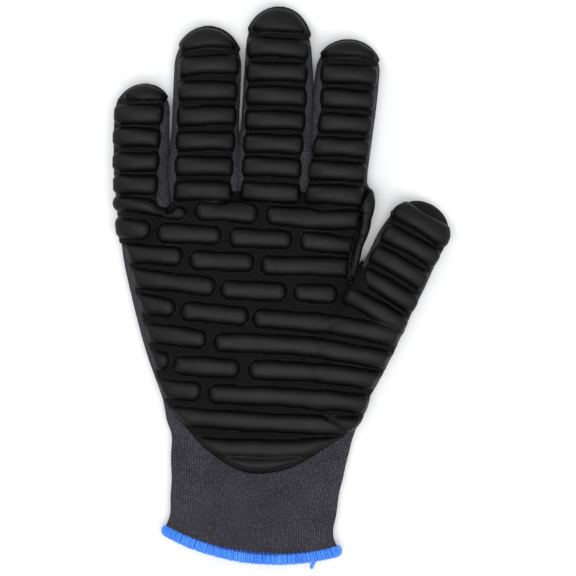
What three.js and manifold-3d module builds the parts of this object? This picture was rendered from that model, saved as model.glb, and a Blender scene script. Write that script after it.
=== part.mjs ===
// Anti vibration work glove for the right hand, lying on its back with the palm up.
// Millimetres. +Y points to the fingertips, +X to the thumb side, +Z out of the palm.
import * as THREE from 'three';
import Module from 'manifold-3d';
import { mergeVertices } from 'three/addons/utils/BufferGeometryUtils.js';

const wasm = await Module();
wasm.setup();

// Driving dimensions
const PALM_WIDTH = 112;
const PALM_LENGTH = 107;
const PALM_THICKNESS = 15;
const FINGER_LENGTH = 94.2;
const FINGER_THICKNESS = 14;
const THUMB_LENGTH = 101.6;
const THUMB_THICKNESS = 15.5;
const KNIT_WALL = 1.4;
const CUFF_LENGTH = 53;
const CUFF_WIDTH = 80;
const CUFF_THICKNESS = 14;
const CUFF_LEAN = 6;
const MOUTH_BOW = 8;
const MOUTH_TILT = 7;
const HEM_HEIGHT = 5;
const HEM_THICKNESS = 4.1;
const COAT_THICKNESS = 1.2;
const COAT_LOW_EDGE = 5.5;
const RIB_HEIGHT = 2.7;
const PALM_RIB_WIDTH = 9.1;
const FINGER_RIB_WIDTH = 7.9;
const FINGER_RIB_PITCH = 10.9;
const CLEARANCE = 0.3;

// The four finger stalls. long is a share of the finger length and wide one of the palm's width,
// as the four lie side by side across it. lean is in degrees towards the thumb side.
// across and up place the root on the palm, as shares of its width and length.
// cut is where the stall starts, as a share of the palm's length. first is how far the first rib
// lies from the tip, and step how far apart the ribs are, as shares of the rib pitch.
const STALLS = [
  { name: 'little_stall', long: 0.7, wide: 0.202, lean: 0.8, across: -0.395, up: 0.854,
    cut: 0.103, first: 0.26, step: 0.945, ribs: 5, band: 'little' },
  { name: 'ring_stall', long: 0.928, wide: 0.268, lean: 2, across: -0.158, up: 0.896,
    cut: 0.126, first: 0.57, step: 1.025, ribs: 7, band: 'ring' },
  { name: 'middle_stall', long: 1, wide: 0.275, lean: 2.9, across: 0.117, up: 0.908,
    cut: 0.136, first: 0.58, step: 1, ribs: 8, band: 'middle' },
  { name: 'index_stall', long: 0.919, wide: 0.248, lean: 5, across: 0.368, up: 0.854,
    cut: 0.168, first: 0.45, step: 0.99, ribs: 7, band: 'index' },
];
// The thumb: wide and cut as above, with its own length
const THUMB = { name: 'thumb_stall', long: 1, wide: 0.268, lean: 30, across: 0.292, up: 0.14,
  cut: 0.598, first: 0.73, step: 1, ribs: 5, band: 'thumb' };

// Sections along a straight finger: shares of its length, width and thickness
const FINGER_SECTIONS = [
  { at: 0, left: 0.33, right: 0.33, thick: 0.7 },
  { at: 0.12, left: 0.495, right: 0.49, thick: 0.98 },
  { at: 0.5, left: 0.51, right: 0.49, thick: 1 },
  { at: 1, left: 0.5, right: 0.5, thick: 0.93 },
];
// The thumb is widest at its root, in the ball of the hand
const THUMB_SECTIONS = [
  { at: 0, left: 0.5, right: 0.62, thick: 0.66 },
  { at: 0.2, left: 0.65, right: 0.64, thick: 0.98 },
  { at: 0.44, left: 0.62, right: 0.61, thick: 1.03 },
  { at: 0.66, left: 0.545, right: 0.54, thick: 1 },
  { at: 1, left: 0.485, right: 0.49, thick: 0.92 },
];
const PALM_SECTIONS = [
  { at: 0, left: 0.282, right: 0.436, thick: 0.8 },
  { at: 0.13, left: 0.306, right: 0.478, thick: 0.88 },
  { at: 0.37, left: 0.378, right: 0.492, thick: 1 },
  { at: 0.62, left: 0.442, right: 0.488, thick: 1 },
  { at: 0.86, left: 0.476, right: 0.48, thick: 0.95 },
  { at: 1, left: 0.36, right: 0.495, thick: 0.93 },
];
// From the mouth up to the wrist
const CUFF_SECTIONS = [
  { at: 0, left: 0.485, right: 0.495, thick: 0.95 },
  { at: 0.14, left: 0.464, right: 0.456, thick: 0.93 },
  { at: 0.4, left: 0.464, right: 0.452, thick: 0.9 },
  { at: 0.7, left: 0.486, right: 0.471, thick: 0.88 },
  { at: 1, left: 0.496, right: 0.496, thick: 0.86 },
];

// Edges of the coating along each stall, as shares of its width on each side of the axis
const BANDS = {
  little: [
    { at: 0, left: 0.62, right: 0.28 },
    { at: 0.5, left: 0.62, right: 0.31 },
    { at: 0.8, left: 0.62, right: 0.37 },
    { at: 0.92, left: 0.62, right: 0.44 },
  ],
  ring: [
    { at: 0, left: 0.415, right: 0.34 },
    { at: 0.5, left: 0.44, right: 0.37 },
    { at: 0.82, left: 0.45, right: 0.42 },
    { at: 0.94, left: 0.48, right: 0.5 },
  ],
  middle: [
    { at: 0, left: 0.44, right: 0.39 },
    { at: 0.5, left: 0.44, right: 0.4 },
    { at: 0.84, left: 0.46, right: 0.42 },
    { at: 0.94, left: 0.52, right: 0.52 },
  ],
  index: [
    { at: 0, left: 0.46, right: 0.43 },
    { at: 0.5, left: 0.46, right: 0.42 },
    { at: 0.84, left: 0.47, right: 0.44 },
    { at: 0.94, left: 0.47, right: 0.52 },
  ],
  thumb: [
    { at: 0, left: 0.5, right: 0.5 },
    { at: 0.3, left: 0.5, right: 0.52 },
    { at: 0.6, left: 0.42, right: 0.48 },
    { at: 0.85, left: 0.4, right: 0.43 },
    { at: 0.93, left: 0.56, right: 0.56 },
  ],
};

// Outline of the coating on the palm, from the little finger's root round the heel of the hand
const PALM_OUTLINE = [
  { across: -0.52, up: 0.95 },
  { across: -0.51, up: 0.83 },
  { across: -0.475, up: 0.74 },
  { across: -0.422, up: 0.55 },
  { across: -0.375, up: 0.38 },
  { across: -0.325, up: 0.2 },
  { across: -0.24, up: 0.07 },
  { across: -0.15, up: -0.035 },
  { across: -0.03, up: -0.11 },
  { across: 0.075, up: -0.135 },
  { across: 0.2, up: -0.115 },
  { across: 0.34, up: -0.03 },
  { across: 0.45, up: 0.05 },
  { across: 0.495, up: 0.14 },
  { across: 0.52, up: 0.25 },
  { across: 0.545, up: 0.35 },
  { across: 0.5, up: 0.5 },
  { across: 0.5, up: 0.75 },
  { across: 0.5, up: 0.98 },
  { across: 0.24, up: 1.03 },
  { across: -0.03, up: 1.035 },
  { across: -0.24, up: 0.99 },
  { across: -0.4, up: 0.96 },
];

// Ribs on the palm, in rows from the fingers down to the heel: both ends as shares of the
// palm's width and length, and how far the middle arches up, as a share of its length
const PALM_RIBS = [
  { from: -0.5, fromUp: 0.985, to: -0.228, toUp: 0.965, arch: -0.03 },
  { from: -0.187, fromUp: 0.958, to: 0.064, toUp: 0.942, arch: 0 },
  { from: 0.096, fromUp: 0.938, to: 0.468, toUp: 0.925, arch: -0.015 },
  { from: -0.497, fromUp: 0.886, to: -0.362, toUp: 0.872, arch: 0 },
  { from: -0.338, fromUp: 0.862, to: -0.08, toUp: 0.846, arch: 0 },
  { from: -0.052, fromUp: 0.842, to: 0.199, toUp: 0.829, arch: 0 },
  { from: 0.231, fromUp: 0.829, to: 0.437, toUp: 0.808, arch: 0 },
  { from: -0.482, fromUp: 0.782, to: -0.234, toUp: 0.757, arch: 0 },
  { from: -0.207, fromUp: 0.75, to: 0.048, toUp: 0.733, arch: 0 },
  { from: 0.076, fromUp: 0.725, to: 0.414, toUp: 0.717, arch: 0 },
  { from: -0.465, fromUp: 0.68, to: -0.106, toUp: 0.633, arch: 0 },
  { from: -0.084, fromUp: 0.625, to: 0.175, toUp: 0.612, arch: 0 },
  { from: 0.203, fromUp: 0.612, to: 0.374, toUp: 0.604, arch: 0 },
  { from: -0.445, fromUp: 0.577, to: -0.262, toUp: 0.545, arch: 0 },
  { from: -0.239, fromUp: 0.537, to: 0.024, toUp: 0.512, arch: 0 },
  { from: 0.044, fromUp: 0.504, to: 0.605, toUp: 0.425, arch: 0.017 },
  { from: -0.412, fromUp: 0.453, to: -0.138, toUp: 0.416, arch: 0 },
  { from: -0.111, fromUp: 0.404, to: 0.565, toUp: 0.325, arch: 0.025 },
  { from: -0.385, fromUp: 0.35, to: -0.286, toUp: 0.321, arch: 0 },
  { from: -0.27, fromUp: 0.312, to: -0.008, toUp: 0.296, arch: 0 },
  { from: 0.024, fromUp: 0.292, to: 0.525, toUp: 0.246, arch: 0.012 },
  { from: -0.35, fromUp: 0.22, to: -0.162, toUp: 0.2, arch: 0 },
  { from: -0.135, fromUp: 0.192, to: 0.477, toUp: 0.15, arch: 0.008 },
  { from: -0.31, fromUp: 0.113, to: 0.49, toUp: 0.085, arch: 0 },
  { from: -0.235, fromUp: 0.005, to: 0.44, toUp: 0.005, arch: -0.03 },
  { from: -0.08, fromUp: -0.09, to: 0.3, toUp: -0.085, arch: -0.025 },
];
// The roll down the side of the hand between index finger and thumb
const SIDE_ROLL = { from: 0.488, fromUp: 1.02, to: 0.45, toUp: 0.72, arch: 0.02 };

// Colours and finishes
const KNIT = { color: 0x47474d, roughness: 0.95, metalness: 0 };
const CUFF_KNIT = { color: 0x4d4c54, roughness: 0.95, metalness: 0 };
const HEM_YARN = { color: 0x3f8cf0, roughness: 0.85, metalness: 0 };
const FOAM_RUBBER = { color: 0x161617, roughness: 0.6, metalness: 0 };

// Share of the thickness at which a section is widest, and how square the section is
const BELLY = 0.42;
const SQUARENESS = 2.4;
const SIDES_OF_FINGER = 10;
const SIDES_OF_PALM = 12;
// Length of a limb's round end, as a share of a stall's width and of the palm's length
const TIP_ROUND = 0.46;
const PALM_ROUND = 0.08;
const TIP_STEPS = [42, 76];
// A rib has a flat crown between two sloping sides, and its root fills the dents below it.
// Its sections follow each other at the pace, and its ends are round: end share of its length
// at most, and the narrow ring close to each end.
const RIB_SIDES = 6;
const RIB_REACH = 0.92;
const PALM_RIB_PACE = 34;
const FINGER_RIB_PACE = 12;
const RIB_END_SHARE = 0.45;
const NARROW_RING = { into: 0.3, size: 0.72 };
const RIB_FLAT = Math.sin(Math.PI / 3);
const RIB_ROOT = 2 * COAT_THICKNESS;
// Blocks that cut or part the hand reach past it all round
const BLOCK_HEIGHT = 4 * PALM_THICKNESS;
const BAND_STEPS = 6;
const OUTLINE_STEPS = 24;
const BOW_STEPS = 12;
const CUT_REACH = 0.62;
// The hem's ring, before it takes the shape of the mouth
const HEM_RING = { tube: 0.3, sides: 6, steps: 24, turn: 0.05 };

// Value of one column of a table at a share, on a smooth curve through its rows
function tableValue(rows, column, share) {
  const last = rows.length - 1;
  const inside = Math.min(Math.max(share, rows[0].at), rows[last].at);
  let i = 0;
  while (i < last - 1 && inside > rows[i + 1].at) {
    i += 1;
  }
  const low = rows[i];
  const high = rows[i + 1];
  const t = (inside - low.at) / (high.at - low.at);
  const eased = t * t * (3 - 2 * t);
  const blend = 0.5 * (t + eased);
  return low[column] + (high[column] - low[column]) * blend;
}

// A limb is a tube with a round end: root, lean, size and sections
const palm = {
  root: { x: 0, y: 0 },
  lean: 0,
  length: PALM_LENGTH,
  width: PALM_WIDTH,
  thickness: PALM_THICKNESS,
  round: PALM_ROUND * PALM_LENGTH,
  sections: PALM_SECTIONS,
  sides: SIDES_OF_PALM,
  lift: 0,
  past: 0,
};

const stalls = [];
for (const row of [...STALLS, THUMB]) {
  const isThumb = row === THUMB;
  const width = row.wide * PALM_WIDTH;
  stalls.push({
    ...row,
    root: { x: row.across * PALM_WIDTH, y: row.up * PALM_LENGTH },
    length: row.long * (isThumb ? THUMB_LENGTH : FINGER_LENGTH),
    width,
    thickness: isThumb ? THUMB_THICKNESS : FINGER_THICKNESS,
    round: TIP_ROUND * width,
    start: row.cut * PALM_LENGTH,
    sections: isThumb ? THUMB_SECTIONS : FINGER_SECTIONS,
    sides: SIDES_OF_FINGER,
    lift: 0,
    past: 0,
  });
}

// The wrist is the middle of the palm's lowest section, and the cuff runs down from it
const wrist = { x: 0.5 * (PALM_SECTIONS[0].right - PALM_SECTIONS[0].left) * PALM_WIDTH, y: 0 };
const cuffLean = THREE.MathUtils.degToRad(CUFF_LEAN);
const CUFF_OVERLAP = 6;
const cuff = {
  root: {
    x: wrist.x - CUFF_LENGTH * Math.sin(cuffLean),
    y: wrist.y - CUFF_LENGTH * Math.cos(cuffLean),
  },
  lean: CUFF_LEAN,
  length: CUFF_LENGTH + CUFF_OVERLAP,
  width: CUFF_WIDTH,
  thickness: CUFF_THICKNESS,
  round: 0.5 * CUFF_OVERLAP,
  sections: CUFF_SECTIONS,
  sides: SIDES_OF_PALM,
  lift: 0.5 * (HEM_THICKNESS - KNIT_WALL),
  past: 2 * HEM_HEIGHT,
};

// Section of a limb at a distance along it, made larger or smaller all round by grow
function sectionAt(limb, along, grow) {
  const share = along / limb.length;
  const left = tableValue(limb.sections, 'left', share) * limb.width + grow;
  const right = tableValue(limb.sections, 'right', share) * limb.width + grow;
  const thick = tableValue(limb.sections, 'thick', share) * limb.thickness;
  const round = limb.round + grow;
  const into = Math.max(0, along - (limb.length + grow - round)) / round;
  const closing = Math.sqrt(Math.max(0, 1 - into * into));
  return {
    centre: 0.5 * (right - left),
    half: 0.5 * (right + left) * closing,
    belly: BELLY * thick,
    rise: ((1 - BELLY) * thick + grow) * closing,
    floor: limb.lift * (1 - Math.min(Math.max(share, 0), 1)) - grow,
  };
}

// Place of a point of a limb, given across and along it, on the hand
function place(limb, across, along, up) {
  const lean = THREE.MathUtils.degToRad(limb.lean);
  return new THREE.Vector3(
    limb.root.x + across * Math.cos(lean) + along * Math.sin(lean),
    limb.root.y - across * Math.sin(lean) + along * Math.cos(lean),
    up,
  );
}

function power(value, exponent) {
  return Math.sign(value) * Math.abs(value) ** exponent;
}

// A geometry's closed surface as a solid
function solidOf(geometry) {
  geometry.deleteAttribute('normal');
  geometry.deleteAttribute('uv');
  const merged = mergeVertices(geometry, 1e-5);
  return new wasm.Manifold(new wasm.Mesh({
    numProp: 3,
    vertProperties: merged.getAttribute('position').array,
    triVerts: new Uint32Array(merged.index.array),
  }));
}

function union(solids) {
  return solids.reduce((whole, next) => whole.add(next));
}

// Solid of one limb, from its root to its round end
function limbSolid(limb, grow) {
  const below = limb.past + grow;
  const stations = [-below];
  const straight = limb.length - limb.round;
  for (const row of limb.sections) {
    const along = row.at * limb.length;
    if (along > 0 && along < straight) {
      stations.push(along);
    }
  }
  stations.push(straight);
  for (const degrees of TIP_STEPS) {
    stations.push(straight + (limb.round + grow) * Math.sin(THREE.MathUtils.degToRad(degrees)));
  }
  const rows = stations.length - 1;
  const tube = new THREE.CylinderGeometry(1, 1, 1, limb.sides, rows, false, 0.5 * Math.PI);
  const position = tube.getAttribute('position');
  for (let i = 0; i < position.count; i += 1) {
    const across = position.getX(i);
    const up = position.getZ(i);
    const along = stations[Math.round((position.getY(i) + 0.5) * rows)];
    const section = sectionAt(limb, along, grow);
    const shift = power(across, 2 / SQUARENESS);
    const height = section.belly + section.rise * power(up, 2 / SQUARENESS);
    const point = place(
      limb,
      section.centre + section.half * shift,
      along,
      Math.max(section.floor, height),
    );
    position.setXYZ(i, point.x, point.y, point.z);
  }
  return solidOf(tube);
}

// Height of the hand's upper surface at a place, grown by grow
function topAt(x, y, grow) {
  let top = 0;
  for (const limb of [palm, cuff, ...stalls]) {
    const lean = THREE.MathUtils.degToRad(limb.lean);
    const dx = x - limb.root.x;
    const dy = y - limb.root.y;
    const across = dx * Math.cos(lean) - dy * Math.sin(lean);
    const along = dx * Math.sin(lean) + dy * Math.cos(lean);
    if (along < -grow || along > limb.length + grow) {
      continue;
    }
    const section = sectionAt(limb, along, grow);
    const off = Math.abs(across - section.centre) / Math.max(section.half, 0.01);
    if (off < 1) {
      const height = section.rise * (1 - off ** SQUARENESS) ** (1 / SQUARENESS);
      top = Math.max(top, section.belly + height);
    }
  }
  return top;
}

// One rib: a round-ended pillow along a path over the coating
function ribSolid(path, width, pace) {
  const lift = CLEARANCE + COAT_THICKNESS;
  const length = path.getLength();
  const end = Math.min(0.5 * width, RIB_END_SHARE * length);
  const middles = Math.max(1, Math.round((length - 2 * end) / pace));
  const narrow = NARROW_RING.into * end;
  const rings = [{ along: 0, size: 0 }, { along: narrow, size: NARROW_RING.size }];
  for (let i = 0; i <= middles; i += 1) {
    rings.push({ along: end + (length - 2 * end) * (i / middles), size: 1 });
  }
  rings.push({ along: length - narrow, size: NARROW_RING.size });
  rings.push({ along: length, size: 0 });

  const spots = rings.map((ring) => {
    const spot = path.getPointAt(ring.along / length);
    return new THREE.Vector3(spot.x, spot.y, Math.max(topAt(spot.x, spot.y, lift), COAT_LOW_EDGE));
  });
  const pillow = new THREE.SphereGeometry(1, RIB_SIDES, rings.length - 1);
  const position = pillow.getAttribute('position');
  const up = new THREE.Vector3(0, 0, 1);
  for (let i = 0; i < position.count; i += 1) {
    const polar = Math.acos(THREE.MathUtils.clamp(position.getY(i), -1, 1));
    const k = Math.round((polar / Math.PI) * (rings.length - 1));
    const before = spots[Math.max(k - 1, 0)];
    const after = spots[Math.min(k + 1, spots.length - 1)];
    const ahead = after.clone().sub(before).normalize();
    const aside = ahead.clone().cross(up).normalize();
    const out = aside.clone().cross(ahead).normalize();
    const girth = Math.max(Math.sin(polar), 1e-6);
    const sideways = (-position.getX(i) / girth) * 0.5 * width * rings[k].size;
    const bulge = position.getZ(i) / girth / RIB_FLAT;
    const height = bulge > 0 ? bulge * RIB_HEIGHT : bulge * RIB_ROOT;
    const point = spots[k].clone();
    point.addScaledVector(aside, sideways);
    point.addScaledVector(out, height * rings[k].size);
    position.setXYZ(i, point.x, point.y, point.z);
  }
  return solidOf(pillow);
}

// Ribs across one stall, at an even pitch from its tip
function stallRibs(limb) {
  const ribs = [];
  for (let i = 0; i < limb.ribs; i += 1) {
    const along = limb.length - (limb.first + i * limb.step) * FINGER_RIB_PITCH;
    const section = sectionAt(limb, along, CLEARANCE + COAT_THICKNESS);
    const band = BANDS[limb.band];
    const share = along / limb.length;
    const reach = RIB_REACH * section.half;
    const left = Math.min(tableValue(band, 'left', share) * limb.width, reach - section.centre);
    const right = Math.min(tableValue(band, 'right', share) * limb.width, reach + section.centre);
    const from = place(limb, -left, along, 0);
    const to = place(limb, right, along, 0);
    const path = new THREE.LineCurve(new THREE.Vector2(from.x, from.y), new THREE.Vector2(to.x, to.y));
    ribs.push(ribSolid(path, FINGER_RIB_WIDTH, FINGER_RIB_PACE));
  }
  return ribs;
}

// One rib of the palm, bowed to one side of its chord by its arch
function palmRib(rib) {
  const from = new THREE.Vector2(rib.from * PALM_WIDTH, rib.fromUp * PALM_LENGTH);
  const to = new THREE.Vector2(rib.to * PALM_WIDTH, rib.toUp * PALM_LENGTH);
  const middle = from.clone().add(to).multiplyScalar(0.5);
  const chord = to.clone().sub(from).normalize();
  middle.addScaledVector(new THREE.Vector2(-chord.y, chord.x), 2 * rib.arch * PALM_LENGTH);
  return ribSolid(new THREE.QuadraticBezierCurve(from, middle, to), PALM_RIB_WIDTH, PALM_RIB_PACE);
}

// Straight-sided block over an outline, from the coating's low edge up
function blockOver(points, bottom) {
  const shape = new THREE.Shape(points.map((point) => new THREE.Vector2(point.x, point.y)));
  const block = new THREE.ExtrudeGeometry(shape, { depth: BLOCK_HEIGHT, bevelEnabled: false });
  block.translate(0, 0, bottom);
  return solidOf(block);
}

// Block over the coated band of one stall, past its tip
function bandBlock(limb) {
  const band = BANDS[limb.band];
  const beyond = limb.length + limb.width;
  const shares = [];
  for (let i = 0; i <= BAND_STEPS; i += 1) {
    shares.push(i / BAND_STEPS);
  }
  const left = shares.map((share) => {
    return place(limb, -tableValue(band, 'left', share) * limb.width, share * beyond, 0);
  });
  const right = shares.map((share) => {
    return place(limb, tableValue(band, 'right', share) * limb.width, share * beyond, 0);
  });
  return blockOver([...right, ...left.reverse()], COAT_LOW_EDGE);
}

function palmBlock() {
  const corners = PALM_OUTLINE.map((row) => {
    return new THREE.Vector2(row.across * PALM_WIDTH, row.up * PALM_LENGTH);
  });
  const spline = new THREE.SplineCurve(corners);
  return blockOver(spline.getPoints(OUTLINE_STEPS), COAT_LOW_EDGE);
}

function handSolid(grow) {
  return union([palm, cuff, ...stalls].map((limb) => limbSolid(limb, grow)));
}

// Box over a stall from its cut to past its tip, or one below the wrist
function boxSolid(limb, from, to, halfWidth) {
  const box = new THREE.BoxGeometry(2 * halfWidth, to - from, 2 * BLOCK_HEIGHT);
  box.translate(0, 0.5 * (from + to), 0);
  box.rotateZ(-THREE.MathUtils.degToRad(limb.lean));
  box.translate(limb.root.x, limb.root.y, 0);
  return solidOf(box);
}

// Height of the mouth's edge along the cuff: a bow over its width, on a slant
function mouthEdge(across) {
  const bow = MOUTH_BOW * (across / sectionAt(cuff, 0, 0).half) ** 2;
  return bow - across * Math.tan(THREE.MathUtils.degToRad(MOUTH_TILT - CUFF_LEAN));
}

// Block of all that lies past the mouth, moved along the cuff by shift
function blockPastMouth(shift) {
  const side = CUFF_WIDTH;
  const bow = 0.5 * (mouthEdge(side) + mouthEdge(-side));
  const shape = new THREE.Shape();
  shape.moveTo(-side, -CUFF_LENGTH);
  shape.lineTo(side, -CUFF_LENGTH);
  shape.lineTo(side, shift + mouthEdge(side));
  shape.quadraticCurveTo(0, shift - bow, -side, shift + mouthEdge(-side));
  const block = new THREE.ExtrudeGeometry(shape, {
    depth: BLOCK_HEIGHT,
    bevelEnabled: false,
    curveSegments: BOW_STEPS,
  });
  block.translate(0, 0, -0.5 * BLOCK_HEIGHT);
  block.rotateZ(-cuffLean);
  block.translate(cuff.root.x, cuff.root.y, 0);
  return solidOf(block);
}

// The knit: one hollow hand, parted at the stalls' roots and at the wrist
function knitPieces() {
  const hand = handSolid(0).subtract(handSolid(-KNIT_WALL));
  const pieces = {};
  let rest = hand;
  for (const limb of stalls) {
    const reach = CUT_REACH * limb.width;
    const tube = limbSolid(limb, 0).subtract(limbSolid(limb, -KNIT_WALL));
    pieces[limb.name] = tube.intersect(boxSolid(limb, limb.start, 2 * limb.length, reach));
    rest = rest.subtract(boxSolid(limb, limb.start - CLEARANCE, 2 * limb.length, reach));
  }
  const wristFrame = { lean: 0, root: wrist };
  const belowWrist = boxSolid(wristFrame, -3 * CUFF_LENGTH, -CLEARANCE, CUFF_WIDTH);
  pieces.knit_cuff = rest.intersect(belowWrist).subtract(blockPastMouth(0));
  pieces.knit_palm = rest.intersect(boxSolid(wristFrame, 0, 3 * PALM_LENGTH, 2 * PALM_WIDTH));
  return pieces;
}

function coatingSolid() {
  const lift = CLEARANCE + COAT_THICKNESS;
  const covered = union([palmBlock(), ...stalls.map(bandBlock)]);
  const trimmed = union(PALM_RIBS.map(palmRib)).intersect(covered);
  const ribs = union([trimmed, palmRib(SIDE_ROLL), ...stalls.flatMap(stallRibs)]);
  return handSolid(lift).intersect(covered).add(ribs).subtract(handSolid(CLEARANCE));
}

// The hem: a soft ring that wraps the cuff's edge
function hemSolid() {
  const ring = new THREE.TorusGeometry(1, HEM_RING.tube, HEM_RING.sides, HEM_RING.steps);
  const position = ring.getAttribute('position');
  const section = sectionAt(cuff, 0, -0.5 * KNIT_WALL);
  const spotAt = (angle) => {
    const shift = power(Math.cos(angle), 2 / SQUARENESS);
    const height = section.belly + section.rise * power(Math.sin(angle), 2 / SQUARENESS);
    return { across: section.half * shift, up: Math.max(section.floor, height) };
  };
  for (let i = 0; i < position.count; i += 1) {
    const x = position.getX(i);
    const y = position.getY(i);
    const angle = Math.atan2(y, x);
    const spot = spotAt(angle);
    const before = spotAt(angle - HEM_RING.turn);
    const after = spotAt(angle + HEM_RING.turn);
    const run = Math.hypot(after.across - before.across, after.up - before.up);
    const outAcross = (after.up - before.up) / run;
    const outUp = -(after.across - before.across) / run;
    const outward = ((Math.hypot(x, y) - 1) / HEM_RING.tube) * 0.5 * HEM_THICKNESS;
    const down = (-position.getZ(i) / HEM_RING.tube) * 0.5 * HEM_HEIGHT;
    const point = place(
      cuff,
      section.centre + spot.across + outAcross * outward,
      down + mouthEdge(spot.across),
      spot.up + outUp * outward,
    );
    position.setXYZ(i, point.x, point.y, point.z);
  }
  const outside = limbSolid(cuff, CLEARANCE);
  const inside = limbSolid(cuff, -KNIT_WALL - CLEARANCE);
  return solidOf(ring).subtract(outside.subtract(inside).subtract(blockPastMouth(-CLEARANCE)));
}

function meshOf(name, solid, look) {
  const { vertProperties, triVerts } = solid.getMesh();
  const geometry = new THREE.BufferGeometry();
  geometry.setAttribute('position', new THREE.BufferAttribute(new Float32Array(vertProperties), 3));
  geometry.setIndex(new THREE.BufferAttribute(new Uint32Array(triVerts), 1));
  geometry.computeVertexNormals();
  const mesh = new THREE.Mesh(geometry, new THREE.MeshStandardMaterial(look));
  mesh.name = name;
  return mesh;
}

const glove = new THREE.Group();
const knit = knitPieces();
glove.add(meshOf('knit_palm', knit.knit_palm, KNIT));
for (const limb of stalls) {
  glove.add(meshOf(limb.name, knit[limb.name], KNIT));
}
glove.add(meshOf('knit_cuff', knit.knit_cuff, CUFF_KNIT));
glove.add(meshOf('cuff_hem', hemSolid(), HEM_YARN));
glove.add(meshOf('ribbed_coating', coatingSolid(), FOAM_RUBBER));

// The origin lies under the middle of the glove, on the surface that it rests on
const extent = new THREE.Box3().setFromObject(glove);
const middle = extent.getCenter(new THREE.Vector3());
glove.position.set(-middle.x, -middle.y, -extent.min.z);

export default glove;
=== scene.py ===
import math
import random

import bmesh
import bpy
import numpy as np
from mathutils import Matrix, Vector


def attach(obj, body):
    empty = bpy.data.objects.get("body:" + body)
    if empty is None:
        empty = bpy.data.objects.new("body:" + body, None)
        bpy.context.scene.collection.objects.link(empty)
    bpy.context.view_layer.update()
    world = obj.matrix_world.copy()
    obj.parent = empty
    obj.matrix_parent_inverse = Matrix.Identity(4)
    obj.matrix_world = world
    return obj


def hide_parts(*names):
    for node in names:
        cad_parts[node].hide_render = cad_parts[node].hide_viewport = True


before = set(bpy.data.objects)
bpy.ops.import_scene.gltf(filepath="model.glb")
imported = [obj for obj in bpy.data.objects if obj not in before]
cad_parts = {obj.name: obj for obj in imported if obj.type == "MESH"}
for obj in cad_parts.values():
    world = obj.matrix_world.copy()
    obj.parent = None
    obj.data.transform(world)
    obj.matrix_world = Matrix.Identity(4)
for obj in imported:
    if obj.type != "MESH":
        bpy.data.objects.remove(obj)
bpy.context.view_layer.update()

# Camera, light and floor
# The glove lies on a pale floor and is seen from straight above, fingers up in the picture.
# Large soft lamps stand round it, so that the black foam shows its form in soft highlights.
SHOWN_WIDTH = 0.2567
CAMERA_HEIGHT = 1.6
GLOVE_HEIGHT = 0.012
SENSOR_WIDTH = 36.0
FRAME_MIDDLE = (0.0027, -0.0009)
FLOOR_SIZE = 4.0
FLOOR_BELOW = 0.0002
FLOOR_COLOUR = (0.9, 0.9, 0.9, 1)
FLOOR_ROUGHNESS = 0.9
WORLD_COLOUR = (0.95, 0.97, 1.0, 1)
WORLD_STRENGTH = 0.42
# Places in metres, each lamp's side in metres and its power in watts
LAMPS = [
    {"place": (0.0, -0.35, 1.9), "size": 1.5, "power": 31.0},
    {"place": (-1.0, 0.9, 0.9), "size": 0.7, "power": 7.0},
    {"place": (1.0, -0.6, 0.9), "size": 0.7, "power": 4.0},
]

scene = bpy.context.scene
scene.view_settings.view_transform = "Standard"


def add_object(name, data):
    """An object of that name at the origin, in the scene."""
    made = bpy.data.objects.new(name, data)
    scene.collection.objects.link(made)
    return made


lens = bpy.data.cameras.new("camera")
lens.sensor_width = SENSOR_WIDTH
lens.lens = SENSOR_WIDTH * (CAMERA_HEIGHT - GLOVE_HEIGHT) / SHOWN_WIDTH
camera = add_object("camera", lens)
camera.location = (FRAME_MIDDLE[0], FRAME_MIDDLE[1], CAMERA_HEIGHT)
scene.camera = camera

for number, lamp in enumerate(LAMPS):
    light = bpy.data.lights.new(f"softbox_{number}", "AREA")
    light.size = lamp["size"]
    light.energy = lamp["power"]
    stand = add_object(f"softbox_{number}", light)
    stand.location = lamp["place"]
    stand.rotation_euler = (-Vector(lamp["place"])).to_track_quat("-Z", "Y").to_euler()

world = bpy.data.worlds.new("studio")
world.use_nodes = True
world.node_tree.nodes["Background"].inputs["Color"].default_value = WORLD_COLOUR
world.node_tree.nodes["Background"].inputs["Strength"].default_value = WORLD_STRENGTH
scene.world = world

floor_mesh = bpy.data.meshes.new("floor")
bm = bmesh.new()
bmesh.ops.create_grid(bm, x_segments=4, y_segments=4, size=0.5 * FLOOR_SIZE)
bmesh.ops.translate(bm, verts=bm.verts, vec=(0, 0, -FLOOR_BELOW))
bm.to_mesh(floor_mesh)
bm.free()
floor = add_object("floor", floor_mesh)
floor_look = bpy.data.materials.new("floor_paper")
floor_look.use_nodes = True
floor_shader = floor_look.node_tree.nodes["Principled BSDF"]
floor_shader.inputs["Base Color"].default_value = FLOOR_COLOUR
floor_shader.inputs["Roughness"].default_value = FLOOR_ROUGHNESS
floor_mesh.materials.append(floor_look)

# Knitted liner
# The hand of the glove is one seamless knit of fine grey yarn, made on a flat glove machine.
# Each finger is a tube of the same stitches, and all of them run out of the palm's tube.
# Lengths are millimetres on the hand's plan, whose origin lies where the palm meets the wrist.
MM = 0.001
PLAN_SHIFT = (-17.78, -68.43)
# Sections are squared-off ovals, widest at this share of their height and eased on the floor
BELLY = 0.42
SQUARENESS = 2.4
SOFT_FLOOR = 0.3
PALM_ROUND = 0.08
FINE_TURNS = 1440
END_CROWDING = 1.4

PALM_WIDTH = 112.0
PALM_LENGTH = 107.0
CUFF_LENGTH = 53.0
CUFF_LEAN = math.radians(6)

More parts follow.
